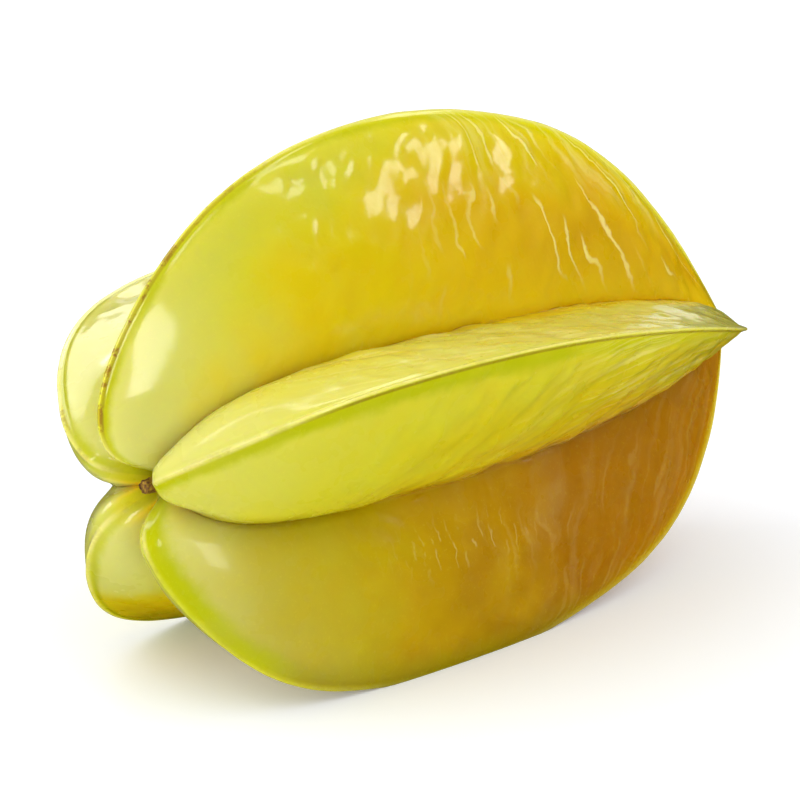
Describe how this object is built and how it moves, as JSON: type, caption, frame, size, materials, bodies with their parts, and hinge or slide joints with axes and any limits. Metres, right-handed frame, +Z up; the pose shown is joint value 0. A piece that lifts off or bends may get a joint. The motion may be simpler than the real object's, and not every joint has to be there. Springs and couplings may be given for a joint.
{
  "type": "star fruit",
  "caption": "Whole ripe star fruit with deep longitudinal ribs, a stem pit and a pointed blossom end, lying on its side.",
  "frame": {"origin": "on the surface that the fruit lies on, under the middle of its bounding box", "axes": "+X from the stem pit to the blossom tip, +Z up, -Y towards the side whose rib points at the viewer"},
  "size_m": [0.1159, 0.0648, 0.0693],
  "materials": {
    "waxy_skin": "satin waxy fruit skin, golden yellow with green rib edges",
    "dry_stalk": "dry dark brown bark"
  },
  "bodies": {
    "root": {"fruit": "waxy_skin", "stem_stub": "dry_stalk"}
  },
  "joints": []
}
